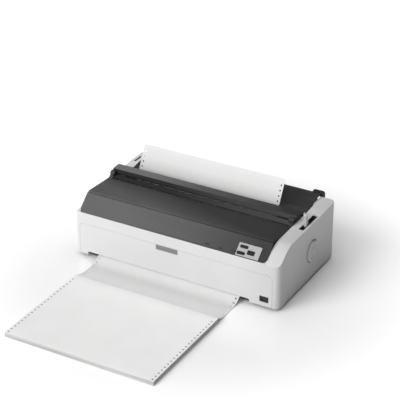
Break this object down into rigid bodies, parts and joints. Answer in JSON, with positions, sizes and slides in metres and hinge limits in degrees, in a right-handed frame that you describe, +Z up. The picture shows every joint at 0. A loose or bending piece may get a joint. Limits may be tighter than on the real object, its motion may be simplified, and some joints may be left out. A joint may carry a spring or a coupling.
{
  "type": "dot matrix printer",
  "caption": "Wide-carriage dot matrix printer with a front push tractor, hinged smoked cover, paper release lever, platen knob and continuous paper fed from a pile in front.",
  "frame": {"origin": "on the table top, midway between the left and right feet and between the housing's front and rear faces; the housing reaches 276 mm to the left and 268 mm to the right of it", "axes": "+X to the printer's right as its user sees it from the front, +Y to the rear, +Z up; the paper pile lies at -Y"},
  "size_m": [0.5496, 0.6752, 0.2156],
  "materials": {
    "case_white": "fine grained moulding",
    "panel_grey": "fine grained moulding",
    "smoked": "smooth",
    "black_plastic": "satin",
    "grey_plastic": "satin",
    "label_grey": "satin, bare",
    "key_rubber": "matt",
    "lamp_lens": "smooth, unlit",
    "rubber": "matt",
    "belt_rubber": "matt",
    "steel": "ground bar",
    "zinc_sheet": "zinc-plated sheet",
    "natural_plastic": "natural moulding",
    "blue_plastic": "satin",
    "brass": "cut teeth",
    "ribbon_cloth": "inked weave",
    "board": "solder mask",
    "paper": "uncoated"
  },
  "bodies": {
    "housing": {"lower_case": "case_white", "upper_case": "case_white", "control_panel": "panel_grey", "button_plate": "grey_plastic", "lamp_lenses": "lamp_lens", "panel_board": "board", "rear_cover": "smoked", "switch_housing": "black_plastic", "platen_bushes": "natural_plastic", "feed_motor": "zinc_sheet", "tractor_belt": "belt_rubber", "tractor_guide_shaft": "steel", "paper_guide": "black_plastic", "side_frame_left": "zinc_sheet", "side_frame_right": "zinc_sheet", "chassis": "zinc_sheet", "carriage_rail": "zinc_sheet", "timing_belt": "belt_rubber", "carriage_motor": "zinc_sheet", "ribbon_cartridge": "black_plastic", "ribbon_band": "ribbon_cloth", "main_board": "board", "power_supply": "zinc_sheet", "ac_inlet": "black_plastic", "rubber_feet": "rubber", "case_screws": "steel", "paper_web": "paper", "paper_pile": "paper"},
    "front_cover": {"front_cover": "case_white", "label_plate": "label_grey"},
    "printer_cover": {"printer_cover": "smoked"},
    "sheet_guide": {"sheet_guide": "black_plastic"},
    "edge_guide_left": {"edge_guide_left": "black_plastic"},
    "edge_guide_right": {"edge_guide_right": "black_plastic"},
    "release_lever": {"release_lever": "grey_plastic"},
    "release_frame": {"release_frame": "steel"},
    "pinch_rollers": {"pinch_rollers": "rubber"},
    "power_rocker": {"power_rocker": "black_plastic"},
    "button_upper": {"button_upper": "key_rubber"},
    "button_lower": {"button_lower": "key_rubber"},
    "button_right": {"button_right": "key_rubber"},
    "platen": {"platen": "rubber", "platen_shaft": "steel", "platen_gear": "natural_plastic", "platen_knob": "grey_plastic"},
    "motor_pinion": {"motor_pinion": "brass"},
    "tractor_drive_shaft": {"tractor_drive_shaft": "steel"},
    "tractor_left": {"tractor_left": "black_plastic"},
    "tractor_right": {"tractor_right": "black_plastic"},
    "tractor_lid_left": {"tractor_lid_left": "black_plastic"},
    "tractor_lid_right": {"tractor_lid_right": "black_plastic"},
    "sprocket_left": {"sprocket_left": "natural_plastic"},
    "sprocket_right": {"sprocket_right": "natural_plastic"},
    "carriage_shaft": {"carriage_shaft": "steel"},
    "carriage": {"carriage": "black_plastic", "print_head": "black_plastic", "ribbon_mask": "steel"},
    "drive_pulley": {"drive_pulley": "brass"},
    "idler_pulley": {"idler_pulley": "natural_plastic"},
    "ribbon_knob": {"ribbon_knob": "blue_plastic"}
  },
  "joints": [
    {"name": "front_cover_hinge", "type": "hinge", "parent": "housing", "child": "front_cover", "pos_m": [0, -0.1443, 0.017], "axis": [1, 0, 0], "range_deg": [0, 88]},
    {"name": "printer_cover_hinge", "type": "hinge", "parent": "housing", "child": "printer_cover", "pos_m": [0, 0, 0.158], "axis": [-1, 0, 0], "range_deg": [0, 100]},
    {"name": "sheet_guide_hinge", "type": "hinge", "parent": "housing", "child": "sheet_guide", "pos_m": [0, 0.057, 0.1465], "axis": [1, 0, 0], "range_deg": [0, 52]},
    {"name": "edge_guide_left_slide", "type": "slide", "parent": "sheet_guide", "child": "edge_guide_left", "axis": [1, 0, 0], "range_m": [0, 0.18]},
    {"name": "edge_guide_right_slide", "type": "slide", "parent": "sheet_guide", "child": "edge_guide_right", "axis": [1, 0, 0], "range_m": [-0.18, 0.002]},
    {"name": "release_lever_turn", "type": "hinge", "parent": "housing", "child": "release_lever", "pos_m": [0.256, 0.048, 0.098], "axis": [1, 0, 0], "range_deg": [-44, 14]},
    {"name": "release_frame_turn", "type": "hinge", "parent": "housing", "child": "release_frame", "pos_m": [0, 0.00372, 0.05403], "axis": [1, 0, 0], "range_deg": [-3.3, 1]},
    {"name": "pinch_roller_turn", "type": "hinge", "parent": "release_frame", "child": "pinch_rollers", "pos_m": [0, -0.0022, 0.06672], "axis": [1, 0, 0], "continuous": true},
    {"name": "power_rocker_tilt", "type": "hinge", "parent": "housing", "child": "power_rocker", "pos_m": [0.231, -0.1434, 0.026], "axis": [0, 0, 1], "range_deg": [-14, 0]},
    {"name": "button_upper_press", "type": "slide", "parent": "housing", "child": "button_upper", "axis": [0, -0.6626, 0.749], "range_m": [-0.001, 0], "stiffness_N_per_m": 400},
    {"name": "button_lower_press", "type": "slide", "parent": "housing", "child": "button_lower", "axis": [0, -0.6626, 0.749], "range_m": [-0.001, 0], "stiffness_N_per_m": 400},
    {"name": "button_right_press", "type": "slide", "parent": "housing", "child": "button_right", "axis": [0, -0.6626, 0.749], "range_m": [-0.001, 0], "stiffness_N_per_m": 400},
    {"name": "platen_turn", "type": "hinge", "parent": "housing", "child": "platen", "pos_m": [0, 0.022, 0.078], "axis": [1, 0, 0], "continuous": true},
    {"name": "motor_pinion_turn", "type": "hinge", "parent": "housing", "child": "motor_pinion", "pos_m": [0, 0.04354, 0.05433], "axis": [1, 0, 0], "continuous": true},
    {"name": "tractor_shaft_turn", "type": "hinge", "parent": "housing", "child": "tractor_drive_shaft", "pos_m": [0, -0.088, 0.0215], "axis": [1, 0, 0], "continuous": true},
    {"name": "tractor_left_slide", "type": "slide", "parent": "housing", "child": "tractor_left", "axis": [1, 0, 0], "range_m": [-0.009, 0.002]},
    {"name": "tractor_right_slide", "type": "slide", "parent": "housing", "child": "tractor_right", "axis": [1, 0, 0], "range_m": [-0.002, 0.025]},
    {"name": "tractor_lid_left_hinge", "type": "hinge", "parent": "tractor_left", "child": "tractor_lid_left", "pos_m": [-0.2175, -0.1, 0.0346], "axis": [0, -1, 0], "range_deg": [0, 95]},
    {"name": "tractor_lid_right_hinge", "type": "hinge", "parent": "tractor_right", "child": "tractor_lid_right", "pos_m": [0.1745, -0.1, 0.0346], "axis": [0, 1, 0], "range_deg": [0, 95]},
    {"name": "sprocket_left_turn", "type": "hinge", "parent": "tractor_left", "child": "sprocket_left", "pos_m": [-0.20565, -0.088, 0.0215], "axis": [1, 0, 0], "continuous": true},
    {"name": "sprocket_right_turn", "type": "hinge", "parent": "tractor_right", "child": "sprocket_right", "pos_m": [0.16265, -0.088, 0.0215], "axis": [1, 0, 0], "continuous": true},
    {"name": "paper_thickness_turn", "type": "hinge", "parent": "housing", "child": "carriage_shaft", "pos_m": [0, -0.045, 0.056], "axis": [1, 0, 0], "range_deg": [0, 30]},
    {"name": "carriage_slide", "type": "slide", "parent": "housing", "child": "carriage", "axis": [1, 0, 0], "range_m": [-0.17, 0.17]},
    {"name": "drive_pulley_turn", "type": "hinge", "parent": "housing", "child": "drive_pulley", "pos_m": [0.187, -0.06, 0.043], "axis": [0, 0, 1], "continuous": true},
    {"name": "idler_pulley_turn", "type": "hinge", "parent": "housing", "child": "idler_pulley", "pos_m": [-0.219, -0.06, 0.043], "axis": [0, 0, 1], "continuous": true},
    {"name": "ribbon_knob_turn", "type": "hinge", "parent": "housing", "child": "ribbon_knob", "pos_m": [0.15, -0.076, 0.1], "axis": [0, 0, 1], "continuous": true}
  ],
  "couplings": [
    {"joint": "motor_pinion_turn", "follows": "platen_turn", "ratio": -3},
    {"joint": "tractor_shaft_turn", "follows": "platen_turn", "ratio": 2.4},
    {"joint": "sprocket_left_turn", "follows": "platen_turn", "ratio": 2.4},
    {"joint": "sprocket_right_turn", "follows": "platen_turn", "ratio": 2.4},
    {"joint": "pinch_roller_turn", "follows": "platen_turn", "ratio": -3.1667},
    {"joint": "release_frame_turn", "follows": "release_lever_turn", "ratio": 0.0714},
    {"joint": "drive_pulley_turn", "follows": "carriage_slide", "rad_per_m": -119.05},
    {"joint": "idler_pulley_turn", "follows": "carriage_slide", "rad_per_m": -119.05}
  ]
}
